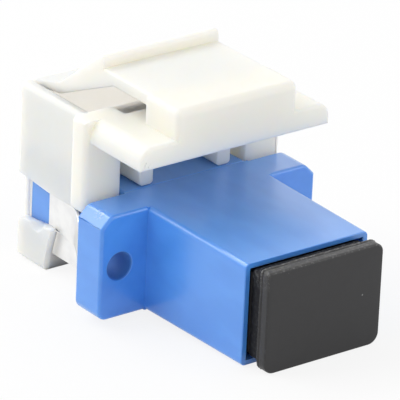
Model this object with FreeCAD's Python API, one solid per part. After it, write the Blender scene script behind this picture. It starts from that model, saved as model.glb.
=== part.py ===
import FreeCAD, Part
import math
import os

# SC simplex fibre adapter held in a white snap-in panel frame.
# Millimetres. The origin is on the optical axis, where the two ferrules meet, in the middle of the
# flange. +Y runs from the capped port to the open port, +Z up to the frame's latch, +X to the right.

# Adapter body: two blue mouldings, welded together at the flange's far face
body_width = 12.8
body_height = 9.3
body_length = 29.4
body_draft = 0.12            # taken off each side between the flange and the mouth
body_edge_radius = 0.45
channel_width = 9.2          # guides the plug
channel_height = 7.6
mouth_wall = 0.5
mouth_depth = 2.3
keyway_width = 2.3
keyway_wall = 0.5            # left over the keyway
funnel_length = 0.5          # at the channel's mouth
funnel_rise = 0.25           # how far it opens up and down

# Flange
flange_width = 22.1
flange_thickness = 3.45
flange_edge_radius = 0.3
ear_chamfer = 1.0
ear_shoulder_radius = 1.0    # where the chamfer meets the top
ear_corner_radius = 0.85
ear_hole_diameter = 2.4
ear_hole_edge = 1.95         # from a hole's middle to the ear's end
ear_hole_rim = 0.12

# Latch inserts: one natural plastic piece behind each port
insert_thickness = 1.2
insert_ledge = 0.35          # how far its plate laps the channel's end on each side
holder_wall = 0.65
holder_lip = 0.55
ferrule_lead = 0.3
hook_spacing = 6.1           # between the two arms
hook_thickness = 0.85
hook_height = 3.4
hook_reach = 8.1             # from the middle plane
hook_catch = 0.55
hook_catch_length = 1.3
hook_lead = 0.8

# Split alignment sleeve
ferrule_diameter = 2.5
sleeve_wall = 0.35
sleeve_length = 11.4
sleeve_slot = 0.45

# Stainless panel clip round the far half
steel_thickness = 0.3
clip_front = 12.0            # its two edges, from the middle plane
clip_back = 2.6
clip_web_width = 5.2
clip_top = 3.1
tongue_bottom = -2.2
tongue_top = 1.1
tongue_slot = 0.15           # around the tongue in its side plate
tongue_root = 11.0
tongue_bend = 7.3            # from the middle plane
tongue_bend_spread = 14.2    # between the two tongues there
tongue_bend_radius = 2.5
tongue_tip = 3.6
tongue_tip_spread = 18.6

# Dust cap
cap_width = 11.8
cap_height = 9.0
cap_rise = 0.07              # of the plate over the axis
cap_thickness = 1.1
cap_corner_radius = 1.0
cap_edge_radius = 0.25
cap_collar_radius = 0.8
cap_standoff = 1.5           # how far the plate stands off the mouth
cap_plug_end = 9.4           # from the middle plane
cap_wall = 1.0
cap_plug_lead = 0.4

# White snap-in frame
nose_width = 14.5
nose_bottom = -6.1
nose_top = 9.9
nose_edge_radius = 0.5
roof_wall = 1.0
well_back = 5.8
well_back_wall = 1.0
well_rear_height = 9.0
bezel_height = 9.1
bezel_depth = 0.9            # from the adapter's mouth to the end face
window_top = 1.25
window_top_rise = 0.45       # towards the end face
shoulder_width = 20.4
shoulder_thickness = 2.1
shoulder_gap = 0.35          # to the flange
shoulder_bottom = 3.5
shoulder_edge_radius = 0.5
rib_pitch = 8.0
rib_width = 1.4
rib_radius = 0.35
rib_root = 0.3               # how far it reaches under the shelf

# Its fixed hook under the nose
foot_reach = 0.55            # past the root of the clip's tongues
foot_top = -1.95             # at its back
foot_top_fall = 0.5          # towards the end face
foot_top_radius = 1.0
foot_middle_rake = 0.67      # how far its curved back leans halfway down
foot_rake = 1.05             # and at the toe
foot_back_radius = 0.35
foot_scoop_radius = 1.25
foot_scoop_depth = 0.75      # at the outside; it runs out at the adapter
foot_scoop_place = 2.2       # from the hook's back

# Its latch
shelf_width = 19.4
shelf_bottom = 9.6
shelf_thickness = 2.0
shelf_reach = 4.9            # behind the middle plane
shelf_end_radius = 1.3
shelf_edge_radius = 0.35
latch_width = 11.9
latch_top = 14.2
latch_thickness = 1.1
heel_width = 12.3
heel_length = 4.3
heel_radius = 0.7
heel_side_radius = 0.5
panel_seat = 1.5             # between the shoulder and the catch
catch_height = 1.35
catch_radius = 0.35
ramp_foot = 11.65            # where the ramp flattens out, from the middle plane
ramp_foot_height = 10.9
ramp_foot_bottom = 9.8
ramp_bottom_start = 4.3      # where the arm's underside starts to slope
latch_tip_height = 9.7
latch_tip_thickness = 0.5
latch_edge_radius = 0.25

# Fits
insert_clearance = 0.05
sleeve_clearance = 0.06      # round the sleeve
sleeve_end_play = 0.1
clip_clearance = 0.03
plug_clearance = 0.2         # round the cap's plug and collar
frame_clearance = 0.1        # round the adapter in the frame
tongue_clearance = 0.15      # between the clip's tongues and the frame
latch_clearance = 0.3

# Worked out from the sizes above
half_length = body_length / 2
half_flange = flange_thickness / 2
ear_hole_pitch = flange_width - 2 * ear_hole_edge
insert_seat = insert_thickness + insert_clearance
mouth_width = body_width - 2 * body_draft - 2 * mouth_wall
mouth_height = body_height - 2 * body_draft - 2 * mouth_wall
keyway_top = body_height / 2 - body_draft - keyway_wall
sleeve_inner = ferrule_diameter / 2
sleeve_outer = sleeve_inner + sleeve_wall
holder_bore = sleeve_outer + sleeve_clearance
holder_end = sleeve_length / 2 + sleeve_end_play + holder_lip
plate_width = channel_width + 2 * insert_ledge
plate_height = channel_height + 2 * insert_ledge
passage_width = body_width + 2 * frame_clearance
passage_height = body_height + 2 * frame_clearance
shoulder_back = half_flange + shoulder_gap
shoulder_front = shoulder_back + shoulder_thickness
catch_face = shoulder_front + panel_seat
shelf_top = shelf_bottom + shelf_thickness
well_half_width = latch_width / 2 + latch_clearance
roof_top = passage_height / 2 + roof_wall
bezel_back = half_length + frame_clearance / 2
nose_face = half_length + bezel_depth
foot_back = tongue_root - foot_reach
foot_slope = foot_top_fall / (nose_face - foot_back)
clip_recess = steel_thickness + clip_clearance
touching = 0.01              # two places nearer than this are one
nearly_straight = 0.99       # cosine that still counts as running along an axis


def vec(x, y, z):
    return FreeCAD.Vector(x, y, z)


def block(x_low, x_high, y_low, y_high, z_low, z_high):
    return Part.makeBox(x_high - x_low, y_high - y_low, z_high - z_low, vec(x_low, y_low, z_low))


def centred_block(width, height, y_low, y_high):
    """A box round the optical axis."""
    return block(-width / 2, width / 2, y_low, y_high, -height / 2, height / 2)


def tapered_block(width, height, y_low, y_high, draft):
    """A box round the optical axis whose low end is smaller by the draft on every side."""
    x, z = width / 2, height / 2
    return Part.makeWedge(-x + draft, y_low, -z + draft, -z, -x,
                          x - draft, y_high, z - draft, z, x)


def cylinder_y(radius, x, z, y_low, y_high):
    return Part.makeCylinder(radius, y_high - y_low, vec(x, y_low, z), vec(0, 1, 0))


def cone_y(radius_low, radius_high, x, z, y_low, y_high):
    return Part.makeCone(radius_low, radius_high, y_high - y_low, vec(x, y_low, z), vec(0, 1, 0))


def plate_from(corners, thickness):
    """A flat outline made solid by pushing it along the vector."""
    return Part.Face(Part.makePolygon(corners + corners[:1])).extrude(thickness)


def side_profile(points, half_width):
    """A plate with the (y, z) outline, centred on x = 0."""
    return plate_from([vec(-half_width, y, z) for y, z in points], vec(2 * half_width, 0, 0))


def edges_along(shape, axis):
    """Straight edges that run along an axis, give or take the mould draft."""
    found = []
    for edge in shape.Edges:
        if len(edge.Vertexes) == 2:
            run = edge.Vertexes[1].Point.sub(edge.Vertexes[0].Point)
            if run.Length > 0 and abs(run.dot(axis)) / run.Length > nearly_straight:
                found.append(edge)
    return found


def edges_near(shape, **planes):
    """Edges whose every vertex lies on the given planes, such as y=4.0 or z=1.0."""
    found = []
    for edge in shape.Edges:
        points = [vertex.Point for vertex in edge.Vertexes]
        if all(abs(getattr(point, name) - value) < touching
               for point in points for name, value in planes.items()):
            found.append(edge)
    return found


def mirrored(shape, normal):
    return shape.mirror(vec(0, 0, 0), normal)


def both_sides(shape):
    """The shape and its mirror image on the other side of x = 0."""
    return [shape, mirrored(shape, vec(1, 0, 0))]


# ---- Adapter housing ----

def flange_plate():
    """The flange, with sloping upper corners and round lower ones."""
    x, z = flange_width / 2, body_height / 2
    outline = [(-x, -z), (x, -z), (x, z - ear_chamfer), (x - ear_chamfer, z),
               (-x + ear_chamfer, z), (-x, z - ear_chamfer)]
    plate = plate_from([vec(px, -half_flange, pz) for px, pz in outline], vec(0, flange_thickness, 0))
    lower = [edge for edge in edges_along(plate, vec(0, 1, 0)) if edge.Vertexes[0].Point.z < -z + touching]
    plate = plate.makeFillet(ear_corner_radius, lower)
    upper = [edge for edge in edges_along(plate, vec(0, 1, 0)) if edge.Vertexes[0].Point.z > z - touching]
    plate = plate.makeFillet(ear_shoulder_radius, upper)
    return plate.makeFillet(flange_edge_radius,
                            edges_near(plate, y=-half_flange) + edges_near(plate, y=half_flange))


def ear_holes():
    """The two screw holes, each with a soft rim on both faces of the flange."""
    holes = []
    radius = ear_hole_diameter / 2
    wide = radius + ear_hole_rim
    for x in (-ear_hole_pitch / 2, ear_hole_pitch / 2):
        holes.append(cylinder_y(radius, x, 0, -half_flange, half_flange))
        holes.append(cone_y(wide, radius, x, 0, -half_flange, -half_flange + ear_hole_rim))
        holes.append(cone_y(radius, wide, x, 0, half_flange - ear_hole_rim, half_flange))
    return holes


def plug_way():
    """The hollow of the capped port: mouth, funnel, plug channel and keyway."""
    mouth_floor = -half_length + mouth_depth
    x, z = channel_width / 2, channel_height / 2
    funnel = Part.makeWedge(-x - funnel_length, mouth_floor, -z - funnel_rise, -z, -x,
                            x + funnel_length, mouth_floor + funnel_length, z + funnel_rise, z, x)
    return [centred_block(mouth_width, mouth_height, -half_length, mouth_floor),
            funnel,
            centred_block(channel_width, channel_height, mouth_floor, -insert_seat),
            block(-keyway_width / 2, keyway_width / 2, mouth_floor, -half_flange, 0, keyway_top)]


def barrel():
    """The outside of the capped port, which narrows towards its mouth."""
    outside = tapered_block(body_width, body_height, -half_length, -half_flange, body_draft)
    return outside.makeFillet(body_edge_radius, edges_along(outside, vec(0, 1, 0)))


def clip_recesses():
    """Shallow seats for the steel clip's side plates and web, in the open side's moulding."""
    x, z = body_width / 2, body_height / 2
    back, front = clip_back - clip_clearance, clip_front + clip_clearance
    web_back = clip_front - clip_web_width - clip_clearance
    side = block(x - clip_recess, x, back, front, -z, clip_top + clip_clearance)
    web = block(-x, x, web_back, front, -z, -z + clip_recess)
    return both_sides(side) + [web]


def front_housing():
    """The capped port and the whole flange, with a pocket behind it for both latch inserts."""
    middle = centred_block(body_width, body_height, -half_flange, half_flange)
    pocket = centred_block(plate_width + 2 * insert_clearance, plate_height + 2 * insert_clearance,
                           -insert_seat, half_flange)
    solid = flange_plate().fuse([middle, barrel()])
    return solid.cut(ear_holes() + plug_way() + [pocket]).removeSplitter()


def rear_housing():
    """The open port, with a spigot that closes the pocket and lines up the weld."""
    spigot = centred_block(plate_width, plate_height, insert_seat, half_flange)
    solid = mirrored(barrel(), vec(0, 1, 0)).fuse(spigot)
    hollow = [mirrored(space, vec(0, 1, 0)) for space in plug_way()]
    return solid.cut(hollow + clip_recesses()).removeSplitter()


# ---- Latch inserts and sleeve ----

def hook_arm():
    """One springy arm, on +X, whose barb catches the plug."""
    inner = hook_spacing / 2
    outer = inner + hook_thickness
    barb_back = -hook_reach + hook_lead + hook_catch_length
    outline = [(inner, 0), (outer, 0), (outer, -hook_reach), (inner, -hook_reach),
               (inner - hook_catch, -hook_reach + hook_lead), (inner - hook_catch, barb_back - hook_catch),
               (inner, barb_back)]
    return plate_from([vec(x, y, -hook_height / 2) for x, y in outline], vec(0, 0, hook_height))


def front_latch_insert():
    """Plate, half of the sleeve's holder and two hook arms, moulded in one piece."""
    plate = centred_block(plate_width, plate_height, -insert_thickness, 0)
    tube_end = -holder_end
    holder = cylinder_y(holder_bore + holder_wall, 0, 0, tube_end, 0)
    bore = cylinder_y(holder_bore, 0, 0, tube_end + holder_lip, 0)
    lip_radius = sleeve_inner + sleeve_wall / 2
    way_in = cylinder_y(lip_radius, 0, 0, tube_end, 0)
    lead = cone_y(lip_radius + ferrule_lead, lip_radius, 0, 0, tube_end, tube_end + ferrule_lead)
    return plate.fuse([holder] + both_sides(hook_arm())).cut([bore, way_in, lead])


def rear_latch_insert():
    return mirrored(front_latch_insert(), vec(0, 1, 0))


def alignment_sleeve():
    """Zirconia tube with one slot along it, so that it grips both ferrules."""
    half = sleeve_length / 2
    tube = cylinder_y(sleeve_outer, 0, 0, -half, half).cut(cylinder_y(sleeve_inner, 0, 0, -half, half))
    slot = block(-sleeve_slot / 2, sleeve_slot / 2, -half, half, 0, sleeve_outer)
    return tube.cut(slot)


# ---- Panel clip ----

def tongue():
    """A spring leg on +X: a flat strip that leaves the side plate and bends further out to its tip."""
    inner = [(body_width / 2 - steel_thickness, tongue_root),
             (tongue_bend_spread / 2 - steel_thickness, tongue_bend),
             (tongue_tip_spread / 2 - steel_thickness, tongue_tip)]
    outer = [(x + steel_thickness, y) for x, y in reversed(inner)]
    corners = [vec(x, y, tongue_bottom) for x, y in inner + outer]
    strip = plate_from(corners, vec(0, 0, tongue_top - tongue_bottom))
    return strip.makeFillet(tongue_bend_radius, edges_near(strip, y=tongue_bend))


def side_plate():
    """A side of the clip, with the opening that its tongue is bent out of, on +X."""
    x, z = body_width / 2, body_height / 2
    plate = block(x - steel_thickness, x, clip_back, clip_front, -z, clip_top)
    opening = block(x - steel_thickness, x, clip_back, tongue_root,
                    tongue_bottom - tongue_slot, tongue_top + tongue_slot)
    return plate.cut(opening)


def panel_clip():
    """One strip of stainless steel: two side plates, the web under the body and two tongues."""
    x, z = body_width / 2, body_height / 2
    web = block(-x, x, clip_front - clip_web_width, clip_front, -z, -z + steel_thickness)
    return web.fuse(both_sides(side_plate()) + both_sides(tongue())).removeSplitter()


# ---- Dust cap ----

def cap_plate():
    """The grip plate, with round corners and soft edges."""
    back = -half_length - cap_standoff
    plate = centred_block(cap_width, cap_height, back - cap_thickness, back)
    plate.translate(vec(0, 0, cap_rise))
    plate = plate.makeFillet(cap_corner_radius, edges_along(plate, vec(0, 1, 0)))
    return plate.makeFillet(cap_edge_radius, edges_near(plate, y=back - cap_thickness))


def dust_cap():
    """Plate, collar in the mouth and a hollow plug in the channel, moulded in one piece."""
    plate_back = -half_length - cap_standoff
    mouth_floor = -half_length + mouth_depth
    plug_width = channel_width - 2 * plug_clearance
    plug_height = channel_height - 2 * plug_clearance
    collar = centred_block(mouth_width - 2 * plug_clearance, mouth_height - 2 * plug_clearance,
                           plate_back, mouth_floor - plug_clearance)
    collar = collar.makeFillet(cap_collar_radius, edges_along(collar, vec(0, 1, 0)))
    plug = centred_block(plug_width, plug_height, plate_back, -cap_plug_end)
    plug = plug.makeChamfer(cap_plug_lead, edges_near(plug, y=-cap_plug_end))
    hollow = centred_block(plug_width - 2 * cap_wall, plug_height - 2 * cap_wall,
                           plate_back, -cap_plug_end)
    return cap_plate().fuse([collar, plug]).cut(hollow)


# ---- Snap-in frame ----

def nose():
    """The part that goes through the panel: side walls, roof, well for the latch, bezel and hook."""
    x = nose_width / 2
    body = block(-x, x, shoulder_front, nose_face, nose_bottom, nose_top)
    ends = edges_along(body, vec(0, 1, 0)) + edges_near(body, y=nose_face)
    body = body.makeFillet(nose_edge_radius, ends)
    well = well_half_width
    floor = block(-well, well, well_back + well_back_wall, bezel_back, roof_top, nose_top)
    mouth = block(-well, well, well_back, nose_face, bezel_height, nose_top)
    rear = block(-well, well, well_back, bezel_back, well_rear_height, nose_top)
    under_shelf = block(-passage_width / 2, passage_width / 2, shoulder_front, well_back, 0, nose_top)
    body = body.cut([floor, mouth, rear, under_shelf, open_underside(), side_windows()])
    return body.makeFillet(foot_back_radius, edges_near(body, y=foot_back, z=foot_top))


def open_underside():
    """Everything below the side walls, back from the fixed hook."""
    x = nose_width / 2
    return block(-x, x, shoulder_front, foot_back, nose_bottom, window_top)


def side_windows():
    """The opening in each side between the wall above and the fixed hook below."""
    x = nose_width / 2
    foot_front = foot_top - foot_top_fall
    round_start = nose_face - foot_top_radius
    round_start_z = foot_front + foot_slope * foot_top_radius
    round_cut = foot_top_radius * (1 - math.sqrt(0.5))
    start = vec(-x, round_start, round_start_z)
    middle = vec(-x, nose_face - round_cut, foot_front - round_cut)
    end = vec(-x, nose_face, foot_front - foot_top_radius)
    corners = [end, vec(-x, nose_face, window_top + window_top_rise), vec(-x, tongue_root, window_top),
               vec(-x, foot_back, window_top), vec(-x, foot_back, foot_top), start]
    lines = [Part.makeLine(a, b) for a, b in zip(corners, corners[1:])]
    outline = Part.Wire(lines + [Part.Arc(start, middle, end).toShape()])
    opening = Part.Face(outline).extrude(vec(2 * x, 0, 0))
    return opening.cut(centred_block(body_width, body_height, bezel_back, nose_face))


def foot_relief():
    """The curved back of the fixed hook."""
    x = nose_width / 2
    top, corner = vec(-x, foot_back, foot_top), vec(-x, foot_back, nose_bottom)
    toe = vec(-x, foot_back + foot_rake, nose_bottom)
    middle = vec(-x, foot_back + foot_middle_rake, (nose_bottom + foot_top) / 2)
    outline = Part.Wire([Part.Arc(top, middle, toe).toShape(), Part.makeLine(toe, corner),
                         Part.makeLine(corner, top)])
    return Part.Face(outline).extrude(vec(2 * x, 0, 0))


def tongue_relief():
    """A little room beside the clip's tongues in the inner top edges of the hook."""
    x = passage_width / 2 + tongue_clearance
    return block(-x, x, foot_back, tongue_root + tongue_clearance,
                 tongue_bottom - tongue_clearance, foot_top + touching)


def foot_scoop():
    """A slanted hollow in the outer top edge of the hook, on +X."""
    inside, outside = passage_width / 2, nose_width / 2
    y = foot_back + foot_scoop_place
    top = foot_top - foot_slope * foot_scoop_place
    fall = foot_scoop_depth / (outside - inside)
    axis = vec(1, 0, -fall)
    start = vec(inside, y, top + foot_scoop_radius * math.sqrt(1 + fall * fall))
    return Part.makeCylinder(foot_scoop_radius, nose_width, start - axis, axis)


def shoulder():
    """The plate that stops against the panel, open round the adapter and under the latch."""
    x = shoulder_width / 2
    plate = block(-x, x, shoulder_back, shoulder_front, shoulder_bottom, shelf_top)
    upright = edges_along(plate, vec(0, 0, 1))
    top = [edge for edge in edges_near(plate, z=shelf_top)
           if max(vertex.Point.y for vertex in edge.Vertexes) > shoulder_back + touching]
    plate = plate.makeFillet(shoulder_edge_radius, upright + top)
    gap = block(-passage_width / 2, passage_width / 2, shoulder_back, shoulder_front, 0, shelf_bottom)
    slot = block(-well_half_width, well_half_width, shoulder_back, shoulder_front, shelf_bottom, shelf_top)
    return plate.cut([gap, slot])


def shelf():
    """The latch's lower arm: a wide plate over the adapter."""
    x = shelf_width / 2
    plate = block(-x, x, -shelf_reach, shoulder_back, shelf_bottom, shelf_top)
    ends = edges_near(plate, x=-x, z=shelf_top) + edges_near(plate, x=x, z=shelf_top)
    plate = plate.makeFillet(shelf_end_radius, ends)
    return plate.makeFillet(shelf_edge_radius, edges_near(plate, y=-shelf_reach))


def heel():
    """The solid bend that joins the latch's two arms."""
    x = heel_width / 2
    solid = block(-x, x, -shelf_reach, -shelf_reach + heel_length, shelf_bottom + heel_side_radius, latch_top)
    solid = solid.makeFillet(heel_radius, edges_near(solid, y=-shelf_reach, z=latch_top))
    sides = edges_near(solid, x=-x, y=-shelf_reach) + edges_near(solid, x=x, y=-shelf_reach)
    return solid.makeFillet(heel_side_radius, sides)


def upper_arm():
    """The latch's upper arm with its catch and the ramp that the panel rides over."""
    underside = latch_top - latch_thickness
    arm_start = -shelf_reach + heel_length - heel_radius
    outline = [(arm_start, latch_top), (catch_face, latch_top), (catch_face, latch_top + catch_height),
               (ramp_foot, ramp_foot_height), (nose_face, latch_tip_height),
               (nose_face, latch_tip_height - latch_tip_thickness), (ramp_foot, ramp_foot_bottom),
               (ramp_bottom_start, underside), (arm_start, underside)]
    x = latch_width / 2
    arm = side_profile(outline, x)
    arm = arm.makeFillet(catch_radius, edges_near(arm, y=catch_face, z=latch_top + catch_height))
    sides = edges_near(arm, x=-x, z=latch_top) + edges_near(arm, x=x, z=latch_top)
    return arm.makeFillet(latch_edge_radius, sides)


def ribs():
    """Two small ribs under the shelf that keep the adapter down."""
    bottom = body_height / 2 + frame_clearance
    rib = block(rib_pitch / 2 - rib_width / 2, rib_pitch / 2 + rib_width / 2,
                shoulder_back - rib_root, well_back + well_back_wall, bottom, shelf_bottom)
    lower = [edge for edge in edges_along(rib, vec(0, 1, 0)) if edge.Vertexes[0].Point.z < bottom + touching]
    return both_sides(rib.makeFillet(rib_radius, lower))


def snap_in_frame():
    """One white moulding: nose, shoulder, fixed hook and the springy latch on top."""
    frame = nose().cut([foot_relief(), tongue_relief()] + both_sides(foot_scoop()))
    frame = frame.fuse([shoulder(), shelf(), heel(), upper_arm()] + ribs())
    passage = centred_block(passage_width, passage_height, shoulder_back, bezel_back)
    port = centred_block(mouth_width, mouth_height, bezel_back, nose_face)
    return frame.cut([passage, port]).removeSplitter()


nodes = {
    "front_housing": front_housing,
    "rear_housing": rear_housing,
    "front_latch_insert": front_latch_insert,
    "rear_latch_insert": rear_latch_insert,
    "alignment_sleeve": alignment_sleeve,
    "panel_clip": panel_clip,
    "dust_cap": dust_cap,
    "snap_in_frame": snap_in_frame,
}

os.makedirs("parts", exist_ok=True)
for name, build in nodes.items():
    solid = build()
    print(name, "solids", len(solid.Solids), "valid", solid.isValid(), "volume", round(solid.Volume, 2))
    solid.exportStep(os.path.join("parts", name + ".step"))
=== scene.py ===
import math

import bmesh
import bpy
import numpy as np
from mathutils import Matrix, Vector


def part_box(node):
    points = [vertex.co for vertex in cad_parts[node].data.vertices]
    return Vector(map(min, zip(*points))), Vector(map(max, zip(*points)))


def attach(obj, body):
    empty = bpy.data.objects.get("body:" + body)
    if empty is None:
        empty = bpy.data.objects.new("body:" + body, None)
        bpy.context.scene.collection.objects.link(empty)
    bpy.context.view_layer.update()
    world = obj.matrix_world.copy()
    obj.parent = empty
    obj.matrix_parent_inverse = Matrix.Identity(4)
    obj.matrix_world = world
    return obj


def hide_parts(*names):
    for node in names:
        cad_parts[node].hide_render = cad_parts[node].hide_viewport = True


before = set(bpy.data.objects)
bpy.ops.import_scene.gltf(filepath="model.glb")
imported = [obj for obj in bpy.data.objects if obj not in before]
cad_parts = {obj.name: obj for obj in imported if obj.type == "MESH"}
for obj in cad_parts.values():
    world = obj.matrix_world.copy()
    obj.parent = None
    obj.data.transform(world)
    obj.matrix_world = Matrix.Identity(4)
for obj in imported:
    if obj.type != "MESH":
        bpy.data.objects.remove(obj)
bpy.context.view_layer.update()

# Metres, in the adapter's own frame: the optical axis is Y, the capped port looks along -Y and the
# frame's latch is on top.


# ---- Blue housings ----
# Two glossy polycarbonate mouldings. The near one carries the flange and its two ears, and the far one
# is welded to the flange's back. The plastic is a little cloudy, the mould leaves its edges soft, and
# the near ear is scuffed.

MM = 0.001
BLUE = (0.064, 0.308, 0.885, 1)
BLUE_DEEP = (0.053, 0.278, 0.835, 1)
BLUE_SCUFFED = (0.62, 0.74, 0.93, 1)
# Painted shade: the darker blue of the ear holes' walls.
BLUE_BORE_SHADE = (0.025, 0.17, 0.55, 1)
HOUSING_EDGE = 0.09 * MM
EAR_SCUFF = Vector((-10.2, -0.3, 4.5)) * MM
SCUFF_SIZE = 0.75 * MM
EAR_HOLE = Vector((9.1, 0, 0)) * MM
EAR_HOLE_RADIUS = 1.2 * MM
SHARP = math.radians(32)
FLAT = math.radians(0.3)
MERGED = 1e-7
NARROW = 2.2


class Wire:
    """One output of a material's nodes. Arithmetic on it adds Math nodes."""

    def __init__(self, tree, socket=None):
        self.tree = tree
        self.socket = socket

    def node(self, kind, settings=None, inputs=None, output=0):
        """A new node: its settings first, then a value or a wire for each of its sockets."""
        made = self.tree.nodes.new(kind)
        for name, value in (settings or {}).items():
            setattr(made, name, value)
        for name, value in (inputs or {}).items():
            if isinstance(value, Wire):
                self.tree.links.new(value.socket, made.inputs[name])
            else:
                made.inputs[name].default_value = value
        return Wire(self.tree, made.outputs[output] if made.outputs else None)

    def math(self, operation, *values):
        """A Math node on these wires and numbers."""
        return self.node("ShaderNodeMath", {"operation": operation}, dict(enumerate(values)))

    def __add__(self, other):
        return self.math("ADD", self, other)

    def __sub__(self, other):
        return self.math("SUBTRACT", self, other)

    def __rsub__(self, other):
        return self.math("SUBTRACT", other, self)

    def __mul__(self, other):
        return self.math("MULTIPLY", self, other)

    def __or__(self, other):
        """The larger of the two."""
        return self.math("MAXIMUM", self, other)

    def __abs__(self):
        return self.math("ABSOLUTE", self)

    __radd__ = __add__
    __rmul__ = __mul__

    def between(self, low, high):
        """0 below low and 1 above high, smooth in between. It falls instead where low is above high."""
        return self.node("ShaderNodeMapRange", {"interpolation_type": "SMOOTHSTEP"},
                         {"Value": self, "From Min": low, "From Max": high})

    def blend(self, first, second):
        """The first colour where this wire is 0, the second where it is 1."""
        return self.node("ShaderNodeMix", {"data_type": "RGBA"}, {0: self, 6: first, 7: second}, 2)

    def stretched(self, x, y, z):
        """These coordinates, drawn out along each axis by so many times."""
        return self.node("ShaderNodeMapping", {}, {"Vector": self, "Scale": (1 / x, 1 / y, 1 / z)})

    def cloud(self, size, detail=2.0, roughness=0.5):
        """Soft noise with blots of about this size, from 0 to 1, over these coordinates."""
        return self.node("ShaderNodeTexNoise", {},
                         {"Vector": self, "Scale": 1 / size, "Detail": detail, "Roughness": roughness})

    def along(self, axis):
        """One of these coordinates: 0 is x, 1 is y and 2 is z."""
        return self.node("ShaderNodeSeparateXYZ", {}, {0: self}, axis)

    def distance(self, point):
        """How far these coordinates lie from a point."""
        return self.node("ShaderNodeVectorMath", {"operation": "DISTANCE"}, {0: self, 1: point}, 1)

    def near(self, point, radius):
        """1 round the point, fading to 0 at the radius and beyond, over these coordinates."""
        return self.distance(point).between(radius, radius * 0.35)

    def bump(self, depth):
        """A normal from this height, where 1 stands this many metres proud."""
        return self.node("ShaderNodeBump", {}, {"Height": self, "Distance": depth})


def finish(name):
    """A new material's wires and its object coordinates."""
    material = bpy.data.materials.new(name)
    material.use_nodes = True
    material.node_tree.nodes.clear()
    tools = Wire(material.node_tree)
    return material, tools, tools.node("ShaderNodeTexCoord", output=3)


def shaded(tools, **sockets):
    """A Principled shader with these sockets, written with an underscore for each space."""
    return tools.node("ShaderNodeBsdfPrincipled", {},
                      {name.replace("_", " "): value for name, value in sockets.items()})


def cover(tools, shader):
    """Closes a material: this shader is its surface."""
    tools.node("ShaderNodeOutputMaterial", {}, {"Surface": shader})


def blue_plastic():
    """Glossy blue: cloudy flow marks in the colour, a fine mould texture, handling marks, one scuff, and
    painted shade in the ear holes, whose walls are darker and duller. One hole stands for both, with every
    coordinate made positive, and with y shrunk to nothing a place's distance to the hole is its distance to
    the hole's axis."""
    material, tools, place = finish("blue_plastic")
    flow = place.stretched(1, 2.5, 1).cloud(2.2 * MM, 3)
    handled = place.stretched(1, 6, 1).cloud(0.35 * MM, 4, 0.65).between(0.62, 0.75)
    scuff = place.near(EAR_SCUFF, SCUFF_SIZE) * place.cloud(0.22 * MM, 2).between(0.52, 0.62)
    grain = place.cloud(0.09 * MM, 2)
    sink = place.cloud(3.5 * MM, 1)
    mirrored = place.node("ShaderNodeVectorMath", {"operation": "ABSOLUTE"}, {0: place})
    from_hole = mirrored.stretched(1, 1000, 1).distance(EAR_HOLE)
    # Painted shade inside the ear holes: their walls get a darker colour, and more roughness and no coat.
    bore_shade = from_hole.between(EAR_HOLE_RADIUS + 0.10 * MM, EAR_HOLE_RADIUS + 0.04 * MM)
    colour = flow.between(0.35, 0.68).blend(BLUE, BLUE_DEEP)
    colour = (scuff * 0.45).blend(colour, BLUE_SCUFFED)
    colour = bore_shade.blend(colour, BLUE_BORE_SHADE)
    roughness = 0.34 + flow * 0.06 + handled * 0.05 + scuff * 0.25 + bore_shade * 0.3
    height = grain * 0.05 + sink - handled * 0.03 - scuff * 0.4
    cover(tools, shaded(
        tools, Base_Color=colour, Roughness=roughness, Normal=height.bump(0.05 * MM), IOR=1.55,
        Coat_Weight=0.9 - bore_shade * 0.9, Coat_Roughness=0.20,
        Sheen_Weight=0.3, Sheen_Roughness=0.5, Sheen_Tint=(0.6, 0.85, 1.0, 1),
        Subsurface_Weight=0.22, Subsurface_Radius=(0.25, 0.5, 1.0), Subsurface_Scale=0.5 * MM))
    return material


def depth(side):
    """How far a face reaches inward from one of its sides, at the narrowest of three places along it.
    The corners are measured along the side, where it runs from 0 to 1, and away from it."""
    start, along = side.vert.co, side.link_loop_next.vert.co - side.vert.co
    inward = side.face.normal.cross(along).normalized()
    away = [corner.co - start for corner in side.face.verts]
    here = np.array([(arm.dot(along) / along.length_squared, arm.dot(inward)) for arm in away])
    ahead = np.roll(here, -1, axis=0)
    reached = [1.0]
    for share in (0.04, 0.5, 0.96):
        cut = (here[:, 0] - share) * (ahead[:, 0] - share) < 0
        first, last = here[cut], ahead[cut]
        across = first[:, 1] + (last - first)[:, 1] * (share - first[:, 0]) / (last - first)[:, 0]
        reached += across[across > MERGED].tolist()
    return min(reached)


def dressed(node, body, material, edge):
    """A finished copy of a construction solid. Its loose triangles are joined into flat faces, and each
    sharp outer edge is rounded by the given width, with shading that stays flat on the flat faces. An
    edge stays crisp beside a strip of less than NARROW times that width."""
    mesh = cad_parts[node].data.copy()
    mesh.materials.clear()
    mesh.materials.append(material)
    form = bmesh.new()
    form.from_mesh(mesh)
    bmesh.ops.remove_doubles(form, verts=form.verts, dist=MERGED)
    bmesh.ops.dissolve_limit(form, angle_limit=FLAT, verts=form.verts, edges=form.edges)
    weight = form.edges.layers.float.new("bevel_weight_edge")
    for line in form.edges:
        line.smooth = line.calc_face_angle(0) < SHARP
        if line.calc_face_angle_signed(0) > SHARP and min(map(depth, line.link_loops)) > NARROW * edge:
            line[weight] = 1
    form.to_mesh(mesh)
    form.free()
    for face in mesh.polygons:
        face.use_smooth = True
    piece = bpy.data.objects.new(node + "_moulding", mesh)
    bpy.context.scene.collection.objects.link(piece)
    rounding = piece.modifiers.new("soft_edges", "BEVEL")
    rounding.width = edge
    rounding.segments = 3
    rounding.limit_method = "WEIGHT"
    rounding.use_clamp_overlap = False
    flat = piece.modifiers.new("flat_faces", "WEIGHTED_NORMAL")
    flat.keep_sharp = True
    flat.weight = 100
    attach(piece, body)
    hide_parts(node)


housing_finish = blue_plastic()
for housing in ("front_housing", "rear_housing"):
    dressed(housing, "adapter", housing_finish, HOUSING_EDGE)


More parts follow.
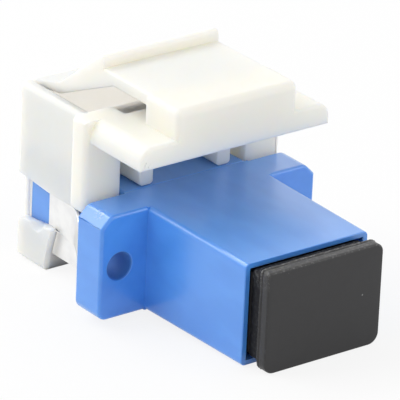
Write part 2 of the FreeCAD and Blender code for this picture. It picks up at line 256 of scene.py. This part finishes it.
# ---- Latch inserts and sleeve ----
# Behind each port sits a plate of natural plastic with two hook arms and half of the sleeve's holder.
# The split sleeve between the ports is ground zirconia.

INSERT_CREAM = (0.80, 0.78, 0.70, 1)
INSERT_DEEP = (0.74, 0.71, 0.62, 1)
INSERT_EDGE = 0.05 * MM
ZIRCONIA = (0.90, 0.90, 0.88, 1)
ZIRCONIA_GROUND = (0.86, 0.86, 0.84, 1)
SLEEVE_EDGE = 0.04 * MM


def natural_plastic():
    """Unpigmented moulded plastic: waxy, slightly uneven, with light passing through its thin arms."""
    material, tools, place = finish("natural_plastic")
    cloudy = place.cloud(1.5 * MM, 2)
    grain = place.cloud(0.12 * MM, 2)
    cover(tools, shaded(
        tools, Base_Color=cloudy.blend(INSERT_CREAM, INSERT_DEEP), Roughness=0.42 + cloudy * 0.1,
        Normal=grain.bump(0.004 * MM),
        Subsurface_Weight=0.4, Subsurface_Radius=(1.0, 0.8, 0.5), Subsurface_Scale=0.8 * MM))
    return material


def ground_ceramic():
    """Polished white ceramic with faint grinding rings round the sleeve."""
    material, tools, place = finish("ground_ceramic")
    rings = place.stretched(40, 1, 40).cloud(0.06 * MM, 2)
    cover(tools, shaded(
        tools, Base_Color=rings.blend(ZIRCONIA, ZIRCONIA_GROUND), Roughness=0.12 + rings * 0.1,
        Normal=rings.bump(0.002 * MM), IOR=2.1))
    return material


insert_finish = natural_plastic()
for insert in ("front_latch_insert", "rear_latch_insert"):
    dressed(insert, "adapter", insert_finish, INSERT_EDGE)
dressed("alignment_sleeve", "adapter", ground_ceramic(), SLEEVE_EDGE)


# ---- Panel clip ----
# One strip of bright stainless steel, blanked and bent round the far housing, with a spring tongue
# flared out of each side. Rolling leaves fine lines along the strip.

STEEL = (0.97, 0.97, 0.96, 1)
STEEL_HANDLED = (0.89, 0.89, 0.89, 1)
CLIP_EDGE = 0.04 * MM


def rolled_steel():
    """Bright rolled stainless: metal with fine lines along its length and cloudy handling marks."""
    material, tools, place = finish("rolled_steel")
    lines = place.stretched(1, 60, 1).cloud(0.05 * MM, 3, 0.6)
    cloudy = place.cloud(1.2 * MM, 2)
    cover(tools, shaded(
        tools, Base_Color=cloudy.between(0.3, 0.7).blend(STEEL, STEEL_HANDLED), Metallic=1.0,
        Roughness=0.24 + lines * 0.1 + cloudy * 0.06, Normal=lines.bump(0.003 * MM)))
    return material


dressed("panel_clip", "adapter", rolled_steel(), CLIP_EDGE)


# ---- Dust cap ----
# Soft black polyethylene, moulded in one piece: a grip plate, a collar that fills the mouth and a
# hollow plug. The mould's parting line leaves a ragged flash round the plate's back edge.

CAP_BLACK = (0.008, 0.008, 0.009, 1)
CAP_MOTTLED = (0.016, 0.0155, 0.017, 1)
# Worn grey, which is also painted light on the cap's top and on the lip in the rim's shade.
CAP_WORN_AND_LIT = (0.082, 0.078, 0.076, 1)
CAP_NICKED = (0.40, 0.40, 0.40, 1)
cap_low, cap_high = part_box("dust_cap")
PLATE = 1.1 * MM
PLATE_ROUND = 1.0 * MM
CORNERS = np.array([0.8, 0.35, 1.0, 1.0, 0.8])
PLATE_EDGE = 0.16 * MM
PLATE_BACK_EDGE = 0.12 * MM
PLATE_RISE = 0.07 * MM
CROWN = 0.04 * MM
SEAM = 0.36 * MM
FLASH = 0.16 * MM
SLIT = 0.10 * MM
# A section along the plug is half its width, half its height and the radius of its corners.
LIP = (5.58 * MM, 3.98 * MM, 0.8 * MM)
LIP_END = -14.72 * MM
LIP_EDGE = 0.06 * MM
COLLAR = (5.58 * MM, 3.83 * MM, 0.8 * MM)
COLLAR_END = -12.6 * MM
COLLAR_EDGE = 0.1 * MM
COLLAR_LEAD = 0.08 * MM
PLUG = (4.4 * MM, 3.6 * MM, 0.12 * MM)
PLUG_LEAD = 0.4 * MM
PLUG_HOLLOW = (3.4 * MM, 2.6 * MM, 0.1 * MM)
ARC_STEPS = 12
SIDE_STEPS = 46


def rounded_loop(width, height, radius):
    """Round-cornered rectangles, one row for each entry of the three arrays. A loop point is a corner's
    centre plus the radius along its own angle: the angle turns on the corners and waits on the sides,
    where the centre slides to the next corner instead, and each corner has its share of the radius."""
    turn, slide = [], []
    for corner in range(4):
        turn += [np.linspace(corner, corner + 1, ARC_STEPS), np.full(SIDE_STEPS, corner + 1.0)]
        slide += [np.full(ARC_STEPS, float(corner)), corner + np.linspace(0, 1, SIDE_STEPS + 2)[1:-1]]
    turn, slide = np.concatenate(turn) * math.pi / 2, np.concatenate(slide)
    here, share = np.floor(slide).astype(int) % 4, slide % 1
    sign_x, sign_z = np.array([1, -1, -1, 1, 1]), np.array([1, 1, -1, -1, 1])
    centre_x = sign_x[here] * (1 - share) + sign_x[here + 1] * share
    centre_z = sign_z[here] * (1 - share) + sign_z[here + 1] * share
    width, height, radius = (np.asarray(value)[:, None] for value in (width, height, radius))
    own = radius * (CORNERS[here] * (1 - share) + CORNERS[here + 1] * share)
    return (centre_x * (width - own) + own * np.cos(turn),
            centre_z * (height - own) + own * np.sin(turn))


def ragged(count, seed, blots):
    """Smooth random heights from 0 to 1 round a closed loop, with about this many blots. They are a sum
    of cosines of random strength and phase, one for each whole number of waves round the loop."""
    wave = np.random.RandomState(seed)
    around = np.linspace(0, 2 * math.pi, count, endpoint=False)
    orders = np.arange(1, blots)
    height = (wave.normal(size=(1, blots - 1)) * np.cos(around[:, None] * orders
              + wave.uniform(0, 2 * math.pi, (1, blots - 1))) / orders ** 0.35).sum(1)
    return (height - height.min()) / (height.max() - height.min())


def skin(name, rings):
    """A closed surface through a stack of rings of points, with a middle point at either end."""
    steps, around = rings.shape[:2]
    points = np.concatenate([rings.reshape(-1, 3), rings[:1].mean(1), rings[-1:].mean(1)])
    here = np.arange(steps * around).reshape(steps, around)
    ahead = np.roll(here, -1, axis=1)
    sides = np.stack([here[:-1], here[1:], ahead[1:], ahead[:-1]], axis=-1).reshape(-1, 4)
    first = np.stack([here[0], ahead[0], np.full(around, steps * around)], axis=-1)
    last = np.stack([ahead[-1], here[-1], np.full(around, steps * around + 1)], axis=-1)
    mesh = bpy.data.meshes.new(name)
    mesh.from_pydata(points.tolist(), [], sides.tolist() + first.tolist() + last.tolist())
    mesh.validate()
    form = bmesh.new()
    form.from_mesh(mesh)
    bmesh.ops.recalc_face_normals(form, faces=form.faces)
    form.to_mesh(mesh)
    form.free()
    piece = bpy.data.objects.new(name, mesh)
    bpy.context.scene.collection.objects.link(piece)
    return piece


def cap_rings():
    """The cap's rings from the middle of its face, round the plate, along the plug and back inside, and how
    far each point is lightened to worn grey: real wear on its edges and flash, and painted light, which
    makes the weight most on top and lightens the lip in the rim's shade. The face grows from nothing as a
    low crown and the edge is a quarter circle. Along the back edge the flash stands out by one ragged
    height and a slit before it sinks in by another."""
    half_x, half_z = (cap_high.x - cap_low.x) / 2, (cap_high.z - cap_low.z) / 2
    face, back, end = cap_low.y, cap_low.y + PLATE, cap_high.y
    rows = []

    def ring(y, width, height, radius, scale=1.0, flash=0.0, slit=0.0, wear_and_painted_light=0.0):
        rows.append((y, width, height, radius, scale, flash, slit, wear_and_painted_light))

    for scale in np.linspace(0.03, 1, 14):
        ring(face + CROWN * scale ** 2, half_x - PLATE_EDGE, half_z - PLATE_EDGE,
             PLATE_ROUND - PLATE_EDGE, scale)
    for angle in np.linspace(0, math.pi / 2, 7)[1:]:
        inset = PLATE_EDGE * (1 - math.sin(angle))
        ring(face + CROWN + PLATE_EDGE * (1 - math.cos(angle)), half_x - inset, half_z - inset,
             PLATE_ROUND - inset, wear_and_painted_light=0.4 * math.sin(2 * angle))
    for y in np.linspace(face + CROWN + PLATE_EDGE, back - SEAM, 5)[1:]:
        ring(y, half_x, half_z, PLATE_ROUND, wear_and_painted_light=0.25)
    for before, flash, slit in ((0.30, 0, 0.3), (0.26, 0, 1), (0.22, 0, 1), (0.18, 0.2, 0.3),
                                (0.12, 0.5, 0), (0.06, 0.9, 0), (0.02, 1, 0), (0, 0.5, 0)):
        ring(back - before * MM, half_x, half_z, PLATE_ROUND, 1, flash, slit, max(flash, 0.25))
    ring(back, half_x - PLATE_BACK_EDGE, half_z - PLATE_BACK_EDGE, PLATE_ROUND - PLATE_BACK_EDGE)
    # The lip sits in the rim's shade, and its weight of 0.5 is painted light as well as wear.
    for y in np.linspace(back, LIP_END - LIP_EDGE, 5):
        ring(y, *LIP, wear_and_painted_light=0.5)
    ring(LIP_END, LIP[0] - LIP_EDGE, LIP[1] - LIP_EDGE, LIP[2], wear_and_painted_light=0.5)
    for y in np.linspace(LIP_END, COLLAR_END, 4):
        ring(y, *COLLAR)
    ring(COLLAR_END + COLLAR_LEAD, COLLAR[0] - COLLAR_EDGE, COLLAR[1] - COLLAR_EDGE, COLLAR[2])
    ring(COLLAR_END + COLLAR_LEAD, *PLUG)
    ring(end - PLUG_LEAD, *PLUG)
    ring(end, PLUG[0] - PLUG_LEAD, PLUG[1] - PLUG_LEAD, PLUG[2])
    ring(end, *PLUG_HOLLOW)
    ring(back, *PLUG_HOLLOW)
    y, width, height, radius, scale, flash, slit, wear_and_painted_light = (np.array(column) for column in zip(*rows))
    x, z = rounded_loop(width, height, radius)
    proud = (FLASH * flash[:, None] * ragged(x.shape[1], seed=11, blots=150) ** 1.6
             - SLIT * slit[:, None] * ragged(x.shape[1], seed=5, blots=24))
    away = np.hypot(x, z)
    x, z = x * scale[:, None] * (1 + proud / away), z * scale[:, None] * (1 + proud / away)
    y = np.broadcast_to(y[:, None], x.shape)
    rings = np.stack([x, y, z + np.where(height[:, None] > LIP[1], PLATE_RISE, 0)], axis=-1)
    # The weight grows towards the top of the cap, which is painted light where the lamps above fall.
    wear_and_painted_light = wear_and_painted_light[:, None] * (0.15 + 0.85 * np.clip(2.2 * z / half_z - 1.2, 0, 1))
    return rings, np.append(wear_and_painted_light, (0, 0))


def black_polyethylene():
    """Dull black, mottled and faintly streaked, with pale nicks along its edges and a few on its face.
    Handling has polished the grip plate, and the collar and plug behind it stay matt."""
    material, tools, place = finish("black_polyethylene")
    mottle = place.cloud(0.55 * MM, 4, 0.6)
    streaks = place.stretched(1, 1, 5).cloud(0.3 * MM, 3, 0.6)
    edge = tools.node("ShaderNodeAttribute", {"attribute_name": "wear_and_painted_light"}, output=2)
    nicks = edge * place.cloud(0.25 * MM, 3).between(0.50, 0.64)
    specks = place.cloud(0.6 * MM, 0).between(0.85, 0.88)
    plate_back = cap_low.y + PLATE
    touched = place.along(1).between(plate_back + 0.05 * MM, plate_back - 0.05 * MM)
    colour = mottle.blend(CAP_BLACK, CAP_MOTTLED)
    # The worn grey is partly real wear on edges and streaks, and partly painted light on the cap's top and
    # shaded lip.
    colour = (edge * 0.5 + streaks.between(0.55, 0.7) * edge).blend(colour, CAP_WORN_AND_LIT)
    colour = (nicks * 0.5 + specks * 0.6).blend(colour, CAP_NICKED)
    height = mottle * 0.6 + streaks * 0.3 + place.cloud(0.1 * MM, 2) * 0.12
    cover(tools, shaded(
        tools, Base_Color=colour, Roughness=0.50 + mottle * 0.14 - nicks * 0.1,
        Normal=height.bump(0.02 * MM), IOR=1.25, Coat_Weight=touched * 0.85, Coat_Roughness=0.5))
    return material


rings, wear_and_painted_light = cap_rings()
cap = skin("dust_cap_moulding", rings)
cap.data.attributes.new("wear_and_painted_light", "FLOAT", "POINT").data.foreach_set("value", wear_and_painted_light)
cap.data.materials.append(black_polyethylene())
cap.data.shade_smooth()
crisp = cap.modifiers.new("flat_faces", "WEIGHTED_NORMAL")
crisp.weight = 100
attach(cap, "cap")
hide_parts("dust_cap")


# ---- Snap-in frame ----
# One ivory white moulding that holds the adapter in a panel: nose, shoulder, fixed hook and a springy
# latch on top. Its plastic glows warm in the slots, where light passes through the thin walls.

FRAME_IVORY = (0.93, 0.905, 0.83, 1)
FRAME_DEEP = (0.91, 0.88, 0.80, 1)
FRAME_SCRATCHED = (0.35, 0.33, 0.30, 1)
FRAME_EDGE = 0.12 * MM
SHELF_SCRATCH = Vector((-9.12, -4.9, 10.16)) * MM
SCRATCH_SIZE = 0.4 * MM
NOSE_INSIDE = 6.55 * MM
NOSE_FRONT, NOSE_BACK = 6.3 * MM, 15.0 * MM
NOSE_TOP = 9.75 * MM


def ivory_plastic():
    """Satin white: faintly uneven, translucent, with one small dark scratch at the shelf's corner. The
    thin walls round the nose's hollow let light through, so its inner faces scatter deeper."""
    material, tools, place = finish("ivory_plastic")
    cloudy = place.cloud(2.5 * MM, 2)
    scratch = place.near(SHELF_SCRATCH, SCRATCH_SIZE)
    scratch = scratch * place.stretched(1, 1, 5).cloud(0.12 * MM, 1).between(0.55, 0.6)
    colour = (scratch * 0.6).blend(cloudy.blend(FRAME_IVORY, FRAME_DEEP), FRAME_SCRATCHED)
    height = place.cloud(0.14 * MM, 2) * 0.08 + place.cloud(3 * MM, 1) - scratch * 0.4
    sockets = {"Base_Color": colour, "Roughness": 0.44 + cloudy * 0.08, "Normal": height.bump(0.04 * MM),
               "Subsurface_Radius": (1.0, 0.85, 0.65)}
    outside = shaded(tools, **sockets, Subsurface_Weight=0.85, Subsurface_Scale=2.6 * MM)
    inside = shaded(tools, **sockets, Subsurface_Weight=1.0, Subsurface_Scale=16 * MM)
    x, y, z = (place.along(axis) for axis in range(3))
    hollow = (abs(x).between(NOSE_INSIDE + 0.05 * MM, NOSE_INSIDE)
              * y.between(NOSE_FRONT - 0.2 * MM, NOSE_FRONT) * y.between(NOSE_BACK + 0.2 * MM, NOSE_BACK)
              * z.between(NOSE_TOP + 0.1 * MM, NOSE_TOP))
    cover(tools, tools.node("ShaderNodeMixShader", {}, {0: hollow, 1: outside, 2: inside}))
    return material


dressed("snap_in_frame", "adapter", ivory_plastic(), FRAME_EDGE)


# ---- Table, light and camera ----
# The adapter rests on its fixed hook and the cap's lower edge, so the table's plane passes through both.

hook_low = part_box("snap_in_frame")[0].z
HOOK_TOE = 11.5 * MM
slope = (cap_low.z - hook_low) / (HOOK_TOE - cap_low.y)
TABLE_HALF = 3.0
PAPER = (0.9, 0.9, 0.9, 1)
ROOM_LEVEL = 0.62


def white_rays(tools):
    """1 on a ray from the camera, and 1 on a reflected ray or one that passed through something."""
    seen, mirrored, through = (tools.node("ShaderNodeLightPath", output=f"Is {kind} Ray")
                               for kind in ("Camera", "Glossy", "Transmission"))
    return seen, mirrored | through


def table():
    """A plain white sheet. To the camera it is mostly even white, so only a faint shadow shows on it,
    and in reflections it is half so, which keeps the metal bright."""
    material, tools, _ = finish("white_table")
    seen, mirrored = white_rays(tools)
    paper = tools.node("ShaderNodeBsdfDiffuse", {}, {"Color": PAPER})
    even = tools.node("ShaderNodeEmission", {}, {"Strength": 1.0})
    share = mirrored * 0.5 | seen * 0.85
    cover(tools, tools.node("ShaderNodeMixShader", {}, {0: share, 1: paper, 2: even}))
    corners = [(x, y, hook_low - (y - HOOK_TOE) * slope) for x, y in
               ((-TABLE_HALF, -TABLE_HALF), (TABLE_HALF, -TABLE_HALF),
                (TABLE_HALF, TABLE_HALF), (-TABLE_HALF, TABLE_HALF))]
    mesh = bpy.data.meshes.new("table_sheet")
    mesh.from_pydata(corners, [], [(0, 1, 2, 3)])
    mesh.materials.append(material)
    sheet = bpy.data.objects.new("table_sheet", mesh)
    bpy.context.scene.collection.objects.link(sheet)


def room_light():
    """Even light from all round. The camera and reflections see plain white."""
    world = bpy.data.worlds.new("studio")
    bpy.context.scene.world = world
    world.use_nodes = True
    world.node_tree.nodes.clear()
    tools = Wire(world.node_tree)
    seen, mirrored = white_rays(tools)
    strength = (seen | mirrored) * (1 - ROOM_LEVEL) + ROOM_LEVEL
    light = tools.node("ShaderNodeBackground", {}, {"Color": (1, 1, 1, 1), "Strength": strength})
    tools.node("ShaderNodeOutputWorld", {}, {"Surface": light})


def lamp(name, direction, distance, size, power):
    """A square soft box that looks at the adapter from a direction."""
    light = bpy.data.lights.new(name, "AREA")
    light.size = size
    light.energy = power
    box = bpy.data.objects.new(name, light)
    away = Vector(direction).normalized()
    turn = away.to_track_quat("Z", "Y").to_matrix().to_4x4()
    box.matrix_world = Matrix.Translation(away * distance) @ turn
    bpy.context.scene.collection.objects.link(box)


table()
room_light()
lamp("soft_box", (-0.52, 0.56, 0.64), distance=0.8, size=0.60, power=3.1)
lamp("back_strip", (-0.07, 0.72, 0.69), distance=0.8, size=0.20, power=0.8)
lamp("far_box", (0.56, 0.72, 0.41), distance=0.8, size=0.4, power=0.22)
lamp("front_box", (0.55, -0.70, 0.45), distance=1.0, size=0.6, power=1.9)
bpy.context.scene.view_settings.view_transform = "Standard"

AZIMUTH, ELEVATION, ROLL = math.radians(-38.087), math.radians(24.021), math.radians(2.598)
LENS = 434.05
SENSOR = 36
DISTANCE = 400 * MM
AIM_RIGHT, AIM_UP = -0.6754 * MM, 3.4610 * MM
AIM_FORWARD = -1.725 * MM


def camera():
    """A long lens from the capped side, left and above, turned a little about its own axis."""
    right = Vector((math.cos(AZIMUTH), math.sin(AZIMUTH), 0))
    back = Vector((math.sin(AZIMUTH) * math.cos(ELEVATION), -math.cos(AZIMUTH) * math.cos(ELEVATION),
                   math.sin(ELEVATION)))
    up = back.cross(right)
    right, up = (right * math.cos(ROLL) + up * math.sin(ROLL), up * math.cos(ROLL) - right * math.sin(ROLL))
    place = right * AIM_RIGHT + up * AIM_UP + back * DISTANCE + Vector((0, AIM_FORWARD, 0))
    data = bpy.data.cameras.new("long_lens")
    data.lens = LENS
    data.sensor_width = SENSOR
    data.clip_start = 0.01
    data.clip_end = 20
    taker = bpy.data.objects.new("long_lens", data)
    taker.matrix_world = Matrix.Translation(place) @ Matrix((right, up, back)).transposed().to_4x4()
    bpy.context.scene.collection.objects.link(taker)
    bpy.context.scene.camera = taker


camera()
